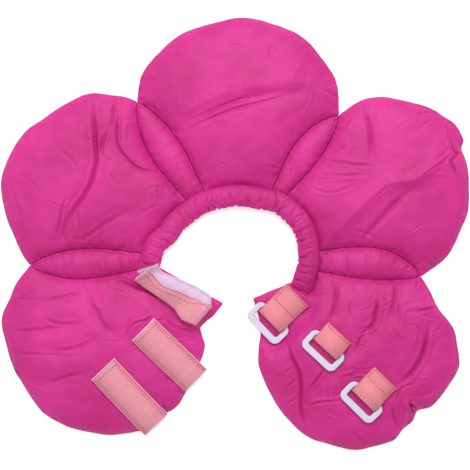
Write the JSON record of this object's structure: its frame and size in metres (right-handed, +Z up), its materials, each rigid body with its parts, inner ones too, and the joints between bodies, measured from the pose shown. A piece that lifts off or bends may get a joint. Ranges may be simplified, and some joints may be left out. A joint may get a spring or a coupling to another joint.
{
  "type": "soft recovery collar",
  "caption": "Soft padded recovery collar for a cat or small dog: round petals and gussets about a gathered neck roll, with hook-and-loop straps that pass through plastic rings.",
  "frame": {"origin": "middle of the bounding box's underside, on the surface that the collar lies on", "axes": "+X along the widest spread, from the strap side to the ring side; +Y from the neck towards the top petal; +Z up out of the surface"},
  "size_m": [0.3748, 0.3458, 0.0267],
  "materials": {
    "taffeta": "padded polyester taffeta with a soft sheen",
    "webbing": "matt ribbed nylon webbing",
    "pile_lining": "matt looped pile",
    "ring_plastic": "moulded satin white"
  },
  "bodies": {
    "collar": {"petal_top": "taffeta", "petal_upper_right": "taffeta", "petal_lower_right": "taffeta", "petal_upper_left": "taffeta", "petal_lower_left": "taffeta", "gusset_right": "taffeta", "gusset_upper_right": "taffeta", "gusset_upper_left": "taffeta", "gusset_left": "taffeta", "neck_roll": "taffeta", "strap_1": "webbing", "strap_2": "webbing", "strap_3": "webbing", "strap_lining_1": "pile_lining", "strap_lining_2": "pile_lining", "strap_lining_3": "pile_lining", "tab_1": "webbing", "tab_2": "webbing", "tab_3": "webbing"},
    "ring_body_1": {"ring_1": "ring_plastic"},
    "ring_body_2": {"ring_2": "ring_plastic"},
    "ring_body_3": {"ring_3": "ring_plastic"}
  },
  "joints": [
    {"name": "ring_hinge_1", "type": "hinge", "parent": "collar", "child": "ring_body_1", "pos_m": [0.03177, -0.06594, 0.00811], "axis": [-0.6947, 0.7193, 0], "range_deg": [0, 140]},
    {"name": "ring_hinge_2", "type": "hinge", "parent": "collar", "child": "ring_body_2", "pos_m": [0.07506, -0.08695, 0.01645], "axis": [-0.7314, 0.682, 0], "range_deg": [0, 140]},
    {"name": "ring_hinge_3", "type": "hinge", "parent": "collar", "child": "ring_body_3", "pos_m": [0.10545, -0.12795, 0.01604], "axis": [-0.7132, 0.7009, 0], "range_deg": [0, 140]}
  ]
}
